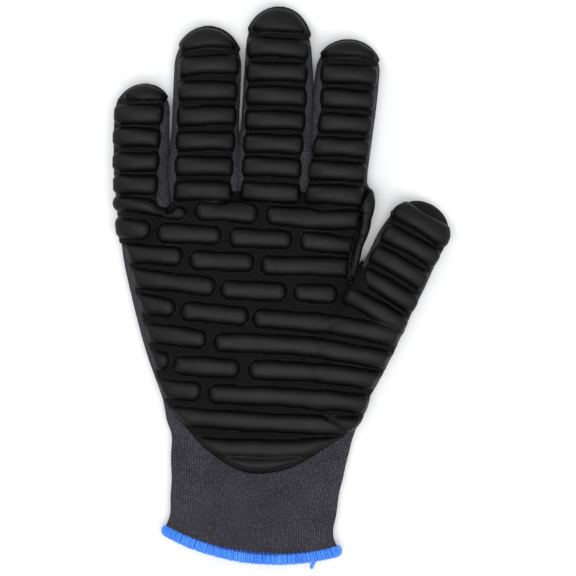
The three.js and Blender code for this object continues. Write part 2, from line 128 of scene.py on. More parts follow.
# Sections along each limb: share of its length, then left, right and thick shares
RING_ROWS = [(0, 0.33, 0.33, 0.7), (0.12, 0.495, 0.49, 0.98), (0.5, 0.51, 0.49, 1.0),
             (1, 0.5, 0.5, 0.93)]
LITTLE_ROWS = [(0, 0.33, 0.33, 0.7), (0.12, 0.46, 0.49, 0.98), (0.45, 0.55, 0.49, 1.0),
               (0.8, 0.55, 0.49, 1.0), (1, 0.5, 0.5, 0.93)]
MIDDLE_ROWS = [(0, 0.33, 0.33, 0.7), (0.12, 0.495, 0.51, 0.98), (0.5, 0.51, 0.525, 1.0),
               (0.7, 0.505, 0.495, 1.0), (0.8, 0.5, 0.46, 0.98), (0.86, 0.495, 0.43, 0.96),
               (1, 0.49, 0.43, 0.93)]
INDEX_ROWS = [(0, 0.33, 0.33, 0.7), (0.12, 0.495, 0.44, 0.98), (0.35, 0.51, 0.45, 1.0),
              (0.5, 0.53, 0.47, 1.0), (0.68, 0.54, 0.495, 1.0), (0.85, 0.525, 0.5, 0.97),
              (1, 0.5, 0.5, 0.93)]
THUMB_ROWS = [(0, 0.5, 0.62, 0.66), (0.2, 0.65, 0.64, 0.98), (0.42, 0.47, 0.6, 1.03),
              (0.53, 0.44, 0.565, 1.0), (0.7, 0.455, 0.53, 1.0), (0.8, 0.475, 0.495, 0.97),
              (0.87, 0.455, 0.49, 0.95), (1, 0.44, 0.487, 0.92)]
PALM_ROWS = [(0, 0.282, 0.436, 0.8), (0.13, 0.308, 0.478, 0.88), (0.37, 0.385, 0.492, 1.0),
             (0.62, 0.447, 0.43, 1.0), (0.73, 0.47, 0.438, 0.98), (0.8, 0.48, 0.458, 0.96),
             (0.87, 0.482, 0.482, 0.95), (1, 0.36, 0.49, 0.93)]
CUFF_ROWS = [(0, 0.485, 0.495, 0.95), (0.14, 0.464, 0.456, 0.93), (0.4, 0.464, 0.452, 0.9),
             (0.7, 0.486, 0.471, 0.88), (1, 0.496, 0.496, 0.86)]
# first is how far the first rib lies from the tip, step how far apart the ribs are, tilt how
# much the first rib rises towards the thumb side, cap how far its cap reaches down, and tip how
# long the round end is, as a share of the width
FINGERS = [
    {"name": "little", "length": 66.6, "width": 22.6, "lean": 0.8, "across": -0.395,
     "up": 0.854, "first": 3.2, "step": 10.3, "tilt": -0.02, "ribs": 5, "thick": 14.0,
     "tip": 0.5, "cap": 4.3, "rows": LITTLE_ROWS},
    {"name": "ring", "length": 88.0, "width": 30.0, "lean": 2.0, "across": -0.158,
     "up": 0.896, "first": 6.5, "step": 11.17, "tilt": 0.09, "ribs": 7, "thick": 14.0,
     "tip": 0.6, "cap": 4.2, "rows": RING_ROWS},
    {"name": "middle", "length": 95.4, "width": 30.8, "lean": 2.9, "across": 0.117,
     "up": 0.908, "first": 8.1, "step": 10.6, "tilt": 0.0, "ribs": 8, "thick": 14.0,
     "tip": 0.54, "cap": 3.2, "rows": MIDDLE_ROWS},
    {"name": "index", "length": 86.7, "width": 27.8, "lean": 5.0, "across": 0.368,
     "up": 0.854, "first": 4.9, "step": 10.79, "tilt": 0.04, "ribs": 7, "thick": 14.0,
     "tip": 0.48, "cap": 3.9, "rows": INDEX_ROWS},
    {"name": "thumb", "length": 102.5, "width": 30.0, "lean": 30.0, "across": 0.292,
     "up": 0.14, "first": 9.0, "step": 10.9, "tilt": 0.0, "ribs": 5, "thick": 15.5,
     "tip": 0.46, "cap": 4.3, "rows": THUMB_ROWS},
]
palm = {"root": (0.0, 0.0), "lean": 0.0, "length": PALM_LENGTH,
        "width": PALM_WIDTH, "thick": 15.0, "round": PALM_ROUND * PALM_LENGTH,
        "rows": PALM_ROWS, "lift": 0.0}
wrist_x = 0.5 * (PALM_ROWS[0][2] - PALM_ROWS[0][1]) * PALM_WIDTH
cuff = {"lean": CUFF_LEAN, "length": CUFF_LENGTH + 6.0, "width": 80.0,
        "thick": 14.0, "round": 3.0, "rows": CUFF_ROWS, "lift": 1.35,
        "root": (wrist_x - CUFF_LENGTH * math.sin(CUFF_LEAN), -CUFF_LENGTH * math.cos(CUFF_LEAN))}
for finger in FINGERS:
    finger["root"] = (finger["across"] * PALM_WIDTH, finger["up"] * PALM_LENGTH)
    finger["lean"] = math.radians(finger["lean"])
    finger["round"] = finger["tip"] * finger["width"]
    finger["lift"] = 0.0


def column(rows, number, share):
    """Smooth curve through one column of a table, at each share."""
    at = np.array([row[0] for row in rows], float)
    value = np.array([row[number] for row in rows], float)
    slope = np.gradient(value, at)
    share = np.clip(share, at[0], at[-1])
    i = np.clip(np.searchsorted(at, share, side="right") - 1, 0, len(at) - 2)
    step = at[i + 1] - at[i]
    t = (share - at[i]) / step
    start = (1 + 2 * t) * (1 - t) ** 2 * value[i] + t * (1 - t) ** 2 * step * slope[i]
    end = t * t * (3 - 2 * t) * value[i + 1] - t * t * (1 - t) * step * slope[i + 1]
    return start + end


def power(value, exponent):
    """A power that keeps the sign, for squared-off ovals."""
    return np.sign(value) * np.abs(value) ** exponent


def limb_point(limb, angle, along, grow):
    """Points round a limb: angle 0 is its thumb side and a quarter turn its palm side."""
    share = along / limb["length"]
    left = column(limb["rows"], 1, share) * limb["width"] + grow
    right = column(limb["rows"], 2, share) * limb["width"] + grow
    thick = column(limb["rows"], 3, share) * limb["thick"]
    cap = limb["round"] + grow
    into = np.clip((along - (limb["length"] + grow - cap)) / cap, 0, 1)
    closing = np.sqrt(1 - into * into)
    half = 0.5 * (right + left) * closing
    across = 0.5 * (right - left) + half * power(np.cos(angle), 2 / SQUARENESS)
    rise = ((1 - BELLY) * thick + grow) * closing
    height = BELLY * thick + rise * power(np.sin(angle), 2 / SQUARENESS)
    base = limb["lift"] * (1 - np.clip(share, 0, 1)) - grow
    height = base + SOFT_FLOOR * np.logaddexp(0, (height - base) / SOFT_FLOOR)
    x = limb["root"][0] + across * math.cos(limb["lean"]) + along * math.sin(limb["lean"])
    y = limb["root"][1] - across * math.sin(limb["lean"]) + along * math.cos(limb["lean"])
    return np.stack([x, y, height], axis=-1)


def even_angles(limb, along, count):
    """Angles that part a limb's section into equal lengths, from the middle of its back round."""
    fine = np.linspace(-0.5 * math.pi, 1.5 * math.pi, FINE_TURNS + 1)
    ring = limb_point(limb, fine, np.full(fine.shape, along), 0.0)
    run = np.concatenate([[0], np.cumsum(np.linalg.norm(np.diff(ring, axis=0), axis=1))])
    return np.interp(np.linspace(0, run[-1], count + 1), run, fine)


def stations(limb, start, grow, pace):
    """Places along a limb, closer together in its round end."""
    straight = limb["length"] - limb["round"]
    body = np.linspace(start, straight, max(2, int((straight - start) / pace)) + 1)
    rows = max(6, int(END_CROWDING * limb["round"] / pace))
    turns = np.linspace(0, 0.5 * math.pi, rows + 1)[1:]
    return np.concatenate([body, straight + (limb["round"] + grow) * np.sin(turns)])


def to_frame(points):
    """From millimetres on the hand's plan to metres in the frame."""
    return (points + np.array([PLAN_SHIFT[0], PLAN_SHIFT[1], 0.0])) * MM


def shaped_grid(bm, around, rows, shape, stitch_of=None):
    """Adds a grid, bends it by shape(turn, row) and closes its seam; its UV counts stitches."""
    made = bmesh.ops.create_grid(bm, x_segments=around, y_segments=rows, size=0.5)["verts"]
    flat = np.array([vertex.co for vertex in made])
    turn = np.rint((flat[:, 0] + 0.5) * around).astype(int)
    row = np.rint((flat[:, 1] + 0.5) * rows).astype(int)
    for vertex, point in zip(made, to_frame(shape(turn, row))):
        vertex.co = point
    if stitch_of:
        layer = bm.loops.layers.uv.verify()
        spot = {vertex: (turn[k], row[k]) for k, vertex in enumerate(made)}
        for vertex in made:
            for loop in vertex.link_loops:
                loop[layer].uv = stitch_of(*spot[vertex])
    bmesh.ops.remove_doubles(bm, verts=made, dist=1e-6)


def finish_mesh(bm, name):
    """The bmesh as an object's mesh, with its faces outwards."""
    bmesh.ops.recalc_face_normals(bm, faces=bm.faces)
    middle = sum((face.calc_center_median() for face in bm.faces), Vector()) / len(bm.faces)
    facing = sum(face.normal.dot(face.calc_center_median() - middle) * face.calc_area()
                 for face in bm.faces)
    if facing < 0:
        bmesh.ops.reverse_faces(bm, faces=bm.faces)
    mesh = bpy.data.meshes.new(name)
    bm.to_mesh(mesh)
    bm.free()
    mesh.shade_smooth()
    return mesh


class Sock:
    """A shader socket that takes part in sums; numbers alone stay plain Python."""

    def __init__(self, tree, output=None):
        self.tree = tree
        self.output = output

    def node(self, kind, settings, sockets, output=0):
        """Any other node: its type, its settings, and what feeds its sockets."""
        made = self.tree.nodes.new(kind)
        for name, value in settings.items():
            setattr(made, name, value)
        for name, value in sockets.items():
            if isinstance(value, Sock):
                self.tree.links.new(value.output, made.inputs[name])
            else:
                made.inputs[name].default_value = value
        return Sock(self.tree, made.outputs[output])

    def math(self, operation, *terms):
        """One step of arithmetic on sockets or numbers."""
        return self.node("ShaderNodeMath", {"operation": operation}, dict(enumerate(terms)))

    def __add__(self, other):
        return self.math("ADD", self, other)

    def __sub__(self, other):
        return self.math("SUBTRACT", self, other)

    def __rsub__(self, other):
        return self.math("SUBTRACT", other, self)

    def __mul__(self, other):
        return self.math("MULTIPLY", self, other)

    def __pow__(self, other):
        return self.math("POWER", self, other)

    def __abs__(self):
        return self.math("ABSOLUTE", self)

    __radd__ = __add__
    __rmul__ = __mul__

    def step(self, low, high):
        """0 below low, 1 above high, smooth between."""
        return self.node("ShaderNodeMapRange", {"interpolation_type": "SMOOTHSTEP"},
                         {"Value": self, "From Min": low, "From Max": high})

    def part(self, number):
        """One part of a vector."""
        return self.node("ShaderNodeSeparateXYZ", {}, {0: self}, number)

    def noise(self, scale, detail=2.0):
        """Fractal noise from 0 to 1 over this vector."""
        inputs = {"Vector": self, "Scale": scale, "Detail": detail}
        return self.node("ShaderNodeTexNoise", {}, inputs)

    def colour(self, low, high):
        """From colour low at 0 to colour high at 1."""
        return self.node("ShaderNodeMix", {"data_type": "RGBA"}, {0: self, 6: low, 7: high}, 2)

    def bump(self, distance, strength=1.0, under=None):
        """A bump of that height in metres, over another bump if there is one."""
        sockets = {"Height": self, "Distance": distance, "Strength": strength}
        if under:
            sockets["Normal"] = under
        return self.node("ShaderNodeBump", {}, sockets)


def new_material(name):
    """A material, the start of its sums, and a way to feed its shader."""
    look = bpy.data.materials.new(name)
    look.use_nodes = True
    tree = look.node_tree
    shader = tree.nodes["Principled BSDF"]

    def feed(socket, value):
        """Gives one of the shader's sockets a sum or a number."""
        if isinstance(value, Sock):
            tree.links.new(value.output, shader.inputs[socket])
        else:
            shader.inputs[socket].default_value = value

    return look, Sock(tree), feed


def stitches(across, along):
    """Height of plain knit, 0 to 1: two slanting legs a stitch, one stitch a unit each way."""
    side = abs(across.math("FRACT", across) - 0.5)
    legs = abs(across.math("SINE", side * (2 * math.pi)))
    row = abs(across.math("SINE", (along + side * 0.9) * math.pi))
    return (legs ** 0.7) * (0.35 + (row ** 0.6) * 0.65)


KNIT_DARK = (0.006, 0.006, 0.0075, 1)
KNIT_LIGHT = (0.1, 0.099, 0.115, 1)
# Noise cells to the metre: stitches that wander, flecks in the yarn, uneven shade and fluff
WANDER_CELLS = 260.0
FLECK_CELLS = 1400.0
SHADE_CELLS = 60.0
FLUFF_CELLS = 2600.0
FLUFF_HEIGHT = 0.00012


def knit_material(name, dark, light, depth):
    """Matte yarn in stitches counted by the UV, with a little fluff and uneven colour."""
    look, start, feed = new_material(name)
    uv = start.node("ShaderNodeUVMap", {}, {})
    place = start.node("ShaderNodeTexCoord", {}, {}, 3)
    wander = place.noise(WANDER_CELLS) - 0.5
    height = stitches(uv.part(0) + wander * 0.25, uv.part(1) + wander * 0.4)
    fleck = place.noise(FLECK_CELLS).step(0.42, 0.68)
    tone = height * (0.3 + fleck * 0.7) + place.noise(SHADE_CELLS, 3.0) * 0.5 - 0.22
    feed("Base Color", tone.math("MAXIMUM", tone, 0.0).colour(dark, light))
    feed("Roughness", 0.9)
    feed("Specular IOR Level", 0.12)
    feed("Sheen Weight", 0.05)
    feed("Sheen Roughness", 0.6)
    fluff = place.noise(FLUFF_CELLS, 3.0).bump(FLUFF_HEIGHT, 0.5)
    feed("Normal", height.bump(depth, 0.9, fluff))
    return look


# Width and height of one stitch
WALE = 1.45
COURSE = 1.15
KNIT_RELIEF = 0.0005
LINER_WALL = 1.2
LINER_PACE = 1.6
PALM_START = 14.0
FINGER_START = -4.0
GIRTH_TURNS = 360
bm = bmesh.new()
for limb in [palm] + FINGERS:
    first = PALM_START if limb is palm else FINGER_START
    middle = 0.5 * limb["length"]
    turns = np.linspace(0, 2 * math.pi, GIRTH_TURNS + 1)
    ring = limb_point(limb, turns, np.full(turns.shape, middle), 0.0)
    girth = np.linalg.norm(np.diff(ring, axis=0), axis=1).sum()
    around = 2 * int(0.5 * girth / LINER_PACE)
    angles = even_angles(limb, middle, around)
    along = stations(limb, first, 0.0, LINER_PACE)
    wales = round(girth / WALE)

    def bent(turn, row, limb=limb, angles=angles, along=along):
        """One limb's own surface."""
        return limb_point(limb, angles[turn], along[row], 0.0)

    def stitch(turn, row, around=around, wales=wales, along=along):
        """Where a point lies in the limb's knit, counted in stitches."""
        return (turn / around * wales, along[row] / COURSE)

    shaped_grid(bm, around, len(along) - 1, bent, stitch)
liner = add_object("knit_liner", finish_mesh(bm, "knit_liner"))
liner.data.materials.append(knit_material("liner_yarn", KNIT_DARK, KNIT_LIGHT, KNIT_RELIEF))
wall = liner.modifiers.new("wall", "SOLIDIFY")
wall.thickness = LINER_WALL * MM
wall.offset = -1
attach(liner, "root")
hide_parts("knit_palm", "little_stall", "ring_stall", "middle_stall", "index_stall",
            "thumb_stall")

# Ribbed cuff
# The wrist is a tube of the same yarn with elastic laid in, so that it draws in to the arm.
# Its stitches stand in close upright ribs, which run from the hem up under the coating.
CUFF_WALES = 140
STEPS_PER_WALE = 4
CUFF_PACE = 1.3
CUFF_GROW = 0.25
CUFF_WALL = 1.2
CUFF_RELIEF = 0.0004
CUFF_DARK = (0.012, 0.0115, 0.0145, 1)
CUFF_LIGHT = (0.098, 0.092, 0.115, 1)
RIB_DEPTH = 0.28
# The tube runs on under the coating, where its ribs fade and it sinks a little
CUFF_TOP = 22.0
TOP_FROM = 8.0
TOP_SINK = 0.5
TOP_FLATTEN = 0.8
CUFF_END = CUFF_LENGTH + 2.0
BLEND_HALF = 9.0
# The mouth's edge is bowed and a little slanted
MOUTH_BOW = 7.0
MOUTH_HALF = 38.0
MOUTH_SLANT = math.tan(math.radians(1))
MOUTH_FADE = 26.0
# Shallow rolls across the cuff, where the elastic gathers it
GATHER = 0.35
GATHER_WAVE = 3.1
GATHER_EASE = 20


def mouth_edge(across):
    """How far up the cuff its edge lies, at a distance across it."""
    return MOUTH_BOW * (across / MOUTH_HALF) ** 2 - across * MOUTH_SLANT


def cuff_point(angle, along, grow):
    """Points on the cuff, which turns into the palm's tube above the wrist."""
    low = limb_point(cuff, angle, np.minimum(along, CUFF_END), grow)
    past = np.maximum(along - CUFF_END, 0)
    low[..., 0] += past * math.sin(CUFF_LEAN)
    low[..., 1] += past * math.cos(CUFF_LEAN)
    high = limb_point(palm, angle, np.maximum(along - CUFF_LENGTH, 0.0), grow)
    high[..., 1] += np.minimum(along - CUFF_LENGTH, 0.0)
    t = np.clip((along - CUFF_LENGTH + BLEND_HALF) / (2 * BLEND_HALF), 0, 1)
    t = (t * t * (3 - 2 * t))[..., None]
    point = low * (1 - t) + high * t
    across = (point[..., 0] - cuff["root"][0]) * math.cos(CUFF_LEAN)
    across -= (point[..., 1] - cuff["root"][1]) * math.sin(CUFF_LEAN)
    fade = np.clip(1 - along / MOUTH_FADE, 0, 1) ** 1.5
    shift = mouth_edge(across) * fade
    point[..., 0] += shift * math.sin(CUFF_LEAN)
    point[..., 1] += shift * math.cos(CUFF_LEAN)
    point[..., 2] = np.maximum(point[..., 2], 0.0)
    return point


cuff_around = CUFF_WALES * STEPS_PER_WALE
cuff_angles = even_angles(cuff, 0.5 * CUFF_LENGTH, cuff_around)
cuff_along = np.linspace(0, CUFF_LENGTH + CUFF_TOP, int((CUFF_LENGTH + CUFF_TOP) / CUFF_PACE))


def cuff_shape(turn, row):
    """The cuff's wall, with its upright ribs and shallow gathers."""
    along = cuff_along[row]
    top = np.clip((along - CUFF_LENGTH - TOP_FROM) / (CUFF_TOP - TOP_FROM), 0, 1)
    top = top * top * (3 - 2 * top)
    ridge = RIB_DEPTH * np.cos(2 * math.pi * turn / STEPS_PER_WALE) * (1 - TOP_FLATTEN * top)
    gather = GATHER * np.sin(along / GATHER_WAVE + 0.6 * np.sin(turn * 0.05))
    gather *= np.clip(along / GATHER_EASE, 0, 1)
    gather *= np.clip((CUFF_LENGTH - along) / GATHER_EASE, 0, 1)
    grow = CUFF_GROW - TOP_SINK * top + ridge + 0.5 * gather
    return cuff_point(cuff_angles[turn], along, grow)


def cuff_stitch(turn, row):
    """Where a point lies in the cuff's knit, counted in stitches."""
    return (turn / STEPS_PER_WALE + 0.5, cuff_along[row] / COURSE)


bm = bmesh.new()
shaped_grid(bm, cuff_around, len(cuff_along) - 1, cuff_shape, cuff_stitch)
cuff_tube = add_object("cuff_tube", finish_mesh(bm, "cuff_tube"))
cuff_tube.data.materials.append(knit_material("cuff_yarn", CUFF_DARK, CUFF_LIGHT, CUFF_RELIEF))
wall = cuff_tube.modifiers.new("wall", "SOLIDIFY")
wall.thickness = CUFF_WALL * MM
wall.offset = -1
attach(cuff_tube, "root")
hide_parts("knit_cuff")

# Hem yarn
# The cuff's raw edge is wrapped in bright blue yarn by an overlock machine.
# The loops lie close side by side over the edge, a little uneven in size and place.
HEM_TURNS = 178
POINTS_PER_TURN = 14
HEM_ACROSS = 1.75
HEM_ALONG = 2.15
YARN_RADIUS = 0.43
YARN_DRIFT = 0.22
YARN_SWELL = 0.05
HEM_BLUE = (0.02, 0.16, 0.78, 1)
HEM_PALE = (0.12, 0.4, 0.98, 1)
rng = random.Random(7)


def mouth_angle(turn):
    """The section's angle at a turn round the cuff's mouth, in steps of its grid."""
    return np.interp(turn, np.arange(cuff_around + 1), cuff_angles)


def hem_frame(share):
    """Middle of the hem's section and its outward way, at a share of the way round the mouth."""
    spots = []
    for near in (share - 0.001, share, share + 0.001):
        angle = mouth_angle((near % 1.0) * cuff_around)
        spots.append(cuff_point(np.array([angle]), np.array([0.0]), -0.5 * CUFF_WALL)[0])
    ahead = Vector(spots[2] - spots[0]).normalized()
    down = Vector((-math.sin(CUFF_LEAN), -math.cos(CUFF_LEAN), 0))
    down = (down - down.dot(ahead) * ahead).normalized()
    return Vector(spots[1]), down.cross(ahead).normalized(), down


def tube_mesh(name, points, radius, closed):
    """A round yarn through points in the frame, as a mesh."""
    path = bpy.data.curves.new(name, "CURVE")
    path.dimensions = "3D"
    path.bevel_depth = radius
    path.bevel_resolution = 1
    path.use_fill_caps = not closed
    spline = path.splines.new("POLY")
    spline.points.add(len(points) - 1)
    for point, place in zip(spline.points, points):
        point.co = (*place, 1)
    spline.use_cyclic_u = closed
    holder = bpy.data.objects.new(name, path)
    mesh = bpy.data.meshes.new_from_object(holder)
    bpy.data.objects.remove(holder)
    mesh.shade_smooth()
    return mesh


def yarn_material(name, low, high):
    """Soft twisted yarn, uneven in colour, with fine fibres."""
    look, start, feed = new_material(name)
    place = start.node("ShaderNodeTexCoord", {}, {}, 3)
    tone = place.noise(900.0, 3.0) + place.noise(120.0) * 0.7 - 0.35
    feed("Base Color", tone.colour(low, high))
    feed("Roughness", 0.85)
    feed("Specular IOR Level", 0.2)
    feed("Sheen Weight", 0.15)
    feed("Normal", place.noise(3200.0, 3.0).bump(0.0002, 0.8))
    return look


coil = []
unevenness = [rng.uniform(-1, 1) for _ in range(HEM_TURNS)]
for turn in range(HEM_TURNS):
    for step in range(POINTS_PER_TURN):
        phase = step / POINTS_PER_TURN
        share = (turn + phase + YARN_DRIFT * unevenness[turn]) / HEM_TURNS
        middle, outward, down = hem_frame(share)
        angle = 2 * math.pi * phase
        swell = 1 + YARN_SWELL * unevenness[turn]
        point = middle + outward * (HEM_ACROSS * swell * math.cos(angle))
        point = point + down * (HEM_ALONG * swell * math.sin(angle))
        point.z = max(point.z, YARN_RADIUS)
        coil.append(to_frame(np.array(point)))
hem_yarn = add_object("hem_yarn", tube_mesh("hem_yarn", coil, YARN_RADIUS * MM, True))
hem_look = yarn_material("hem_yarn", HEM_BLUE, HEM_PALE)
hem_yarn.data.materials.append(hem_look)
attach(hem_yarn, "root")
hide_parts("cuff_hem")

# Hem core
# Under the wrapping loops lies the cuff's edge, drawn up into an oval roll by their pull.
# The roll is a deeper blue than the loops, painted shade that shows in the gaps between the
# loops.
CORE_STEPS = 240
CORE_SIDES = 12
CORE_ACROSS = 1.55
CORE_ALONG = 1.95
# A deeper blue than the loops, painted shade for the gaps between them
HEM_DEEP_BLUE_AND_SHADE = (0.006, 0.05, 0.36, 1)


def core_shape(turn, row):
    """Points on the oval roll, along the hem's own path."""
    points = []
    for side, step in zip(turn, row):
        middle, outward, down = hem_frame(step / CORE_STEPS)
        angle = 2 * math.pi * side / CORE_SIDES
        point = middle + outward * (CORE_ACROSS * math.cos(angle))
        points.append(point + down * (CORE_ALONG * math.sin(angle)))
    return np.array(points)


bm = bmesh.new()
shaped_grid(bm, CORE_SIDES, CORE_STEPS, core_shape)
hem_core = add_object("hem_core", finish_mesh(bm, "hem_core"))
# The roll's colour runs from the painted shade's deep blue up to the loops' blue
deep_blue_and_shade_look = yarn_material("hem_deep_blue_and_shade", HEM_DEEP_BLUE_AND_SHADE, HEM_BLUE)
hem_core.data.materials.append(deep_blue_and_shade_look)
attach(hem_core, "root")

# Needle thread
# The overlock machine's needle thread, of the same blue, holds the loops to the cuff.
# It runs in small steps through the knit just above the wrapped edge.
NEEDLE_STEPS = 170
NEEDLE_RADIUS = 0.33
NEEDLE_HIGH = 0.9
NEEDLE_LOW = -0.4
NEEDLE_RISE = 0.3
needle = []
for step in range(NEEDLE_STEPS):
    turn = (step + 0.25 * rng.uniform(-1, 1)) / NEEDLE_STEPS * cuff_around
    angle = mouth_angle(turn % cuff_around)
    up = HEM_ALONG + (NEEDLE_HIGH if step % 2 else NEEDLE_LOW) + 0.15 * rng.uniform(-1, 1)
    point = cuff_point(np.array([angle]), np.array([up]), CUFF_GROW + NEEDLE_RISE)[0]
    needle.append(to_frame(point))
needle_mesh = tube_mesh("needle_thread", needle, NEEDLE_RADIUS * MM, True)
needle_thread = add_object("needle_thread", needle_mesh)
# The needle thread wears the roll's material, whose deeper blue is painted shade on the roll
needle_thread.data.materials.append(deep_blue_and_shade_look)
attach(needle_thread, "root")

# Yarn tail
# Where the machine starts and stops, a short end of the wrapping yarn is left uncut.
# It hangs out below the hem on the thumb's side and curls a little.
TAIL_FROM = (31.6, -53.6, 4.4)
TAIL_STEPS = 14
TAIL_RADIUS = 0.8
tail_points = []
for step in range(TAIL_STEPS + 1):
    t = step / TAIL_STEPS
    bend = np.array([0.5 * math.sin(5 * t), -4.4 * t, -2.0 * t + 0.5 * math.sin(4 * t)])
    tail_points.append(to_frame(np.array(TAIL_FROM) + bend))
tail_mesh = tube_mesh("yarn_tail", tail_points, TAIL_RADIUS * MM, False)
yarn_tail = add_object("yarn_tail", tail_mesh)
yarn_tail.data.materials.append(hem_look)
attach(yarn_tail, "root")

# Foam-rubber coating
# The palm side is dipped in black chloroprene foam and moulded with ribs that take up shocks.
# Fat round-ended ribs lie in rows over palm and fingers, and between them the foam is thin
# enough that the knit's stitches show through.
COAT_GROW = 0.35
COAT = 1.2
COAT_LOW_EDGE = 5.5
COAT_SIDES = 96
COAT_PACE = 2.0
ROOT_GROW = 0.08
ROOT_THICK = 0.88
WRIST_FROM = 20.0
WRIST_PAST = 14.0
WRIST_ROWS = 24
ROLL_SIDES = 24
VOXEL = 0.78
SMOOTH_ROUNDS = 10
LEVEL_SNAP = 0.1
# The ribs' section, their round corners, and how far they keep from the band's edges
RIB_HEIGHT = 2.7
PALM_RIB_HALF = 4.35
FINGER_RIB_HALF = 4.3
SHOULDER = 3.9
CORNER = 2.6
PALM_CORNER = 3.7
NOTCH = 0.85
RIB_REACH = 0.92
CAP_INSET = 1.3
THUMB_INSET = 0.5
END_INSET = 0.2
END_RUN = 6.0
LONG_WAVER = 0.16
SHORT_WAVER = 0.1
# Where a rib runs out over the coating's edge it grows low, and also where it faces sideways
RUN_OUT = 7.0
FINGER_FADE = 2.6
PALM_FADE = 3.2
LEAST_RUN = 0.12
FREE_RUN = 0.13
SIDE_RISE = 0.3
FULL_FACING = 0.6
RIB_SWELL = 0.05
LEAST_LIFT = 0.2
# The foam sinks into a fold at each rib's foot, wider on its outer side
FOLD_DEPTH = 0.5
FOLD_AT = -0.25
FOLD_INNER = 0.55
FOLD_OUTER = 1.5
# Distances from a limb's root at which its valleys, its own knit and its free part begin
VALLEY_FROM = 14
OWN_KNIT_FROM = 20
OWN_KNIT_EDGE = 2.0
FREE_FROM = 10
THUMB_FREE_FROM = 50
FREE_FADE = 8

# The coated band of each finger: a share of its length, then its reach to the left and right
# as shares of the finger's width
BANDS = {
    "little": [(0, 0.62, 0.28), (0.5, 0.62, 0.31), (0.8, 0.62, 0.37), (0.92, 0.62, 0.44)],
    "ring": [(0, 0.44, 0.405), (0.5, 0.43, 0.44), (0.82, 0.43, 0.455), (0.94, 0.44, 0.47)],
    "middle": [(0, 0.46, 0.4), (0.3, 0.46, 0.4), (0.5, 0.455, 0.42), (0.84, 0.47, 0.42),
               (0.94, 0.475, 0.46)],
    "index": [(0, 0.51, 0.42), (0.35, 0.495, 0.425), (0.6, 0.41, 0.445), (0.84, 0.45, 0.46),
              (0.94, 0.475, 0.475)],
    "thumb": [(0, 0.45, 0.6), (0.3, 0.44, 0.61), (0.53, 0.415, 0.555), (0.6, 0.41, 0.535),
              (0.8, 0.42, 0.48), (0.88, 0.45, 0.485), (0.93, 0.48, 0.49)],
}
# The coating's outline on the palm, as shares of the palm's width and length, from its upper
# left corner down, round the heel, up the thumb's side and back below the fingers
PALM_OUTLINE = [
    (-0.51, 0.95), (-0.5, 0.86), (-0.46, 0.78), (-0.427, 0.632), (-0.403, 0.541), (-0.37, 0.4),
    (-0.348, 0.304), (-0.316, 0.19), (-0.282, 0.12), (-0.2, 0.023), (-0.15, -0.035),
    (-0.03, -0.12), (0.075, -0.142),
    (0.2, -0.115), (0.34, -0.03), (0.45, 0.05), (0.495, 0.14), (0.52, 0.25), (0.545, 0.35),
    (0.51, 0.5), (0.475, 0.62), (0.475, 0.7), (0.5, 0.8), (0.528, 0.88), (0.55, 0.96),
    (0.545, 1.04), (0.505, 1.07), (0.45, 1.03), (0.24, 1.03), (-0.03, 1.035), (-0.2, 1.02),
    (-0.27, 0.982), (-0.302, 0.966), (-0.335, 0.975), (-0.38, 1.0),
]
# The topmost rib on the left runs from the side of the hand round the little finger's root:
# places as shares of the palm's width and length, and half widths in millimetres
HOOK_RIB = [(-0.56, 0.985, 3.1), (-0.493, 0.985, 3.1), (-0.44, 0.982, 3.2),
            (-0.383, 0.972, 3.2), (-0.326, 0.952, 2.8), (-0.298, 0.926, 1.4),
            (-0.272, 0.928, 1.7), (-0.25, 0.94, 2.9), (-0.243, 0.946, 2.9)]
# The side of the hand rolls up beside the index finger's root, and a deep crease parts this
# roll from the ribs: places on the plan and the roll's half width, in millimetres
SIDE_ROLL = [(55.0, 113.0, 0.5), (55.5, 109.8, 1.3), (55.7, 105.9, 1.9), (55.1, 102.1, 1.9),
             (54.3, 99.2, 1.6), (53.7, 94.8, 1.5), (52.5, 90.9, 1.3), (51.3, 87.8, 1.0),
             (50.4, 83.7, 0.9), (49.3, 78.9, 0.8), (48.5, 73.6, 0.5), (48.2, 70.0, 0.3)]
ROLL_MIDDLE = 6.4
ROLL_TALL = 5.6
ROLL_DEPTH = 1.0
ROLL_REACH = 9.0
ROLL_FROM = 66.0
ROLL_TO = 117.0
CREASE = [(55.9, 116.5), (54.2, 108.3), (52.8, 101.6), (51.8, 93.8), (49.9, 87.6), (47.9, 79.8),
          (47.0, 71.6), (47.2, 68.5)]
CREASE_DEPTH = 1.3
CREASE_HALF = 0.9
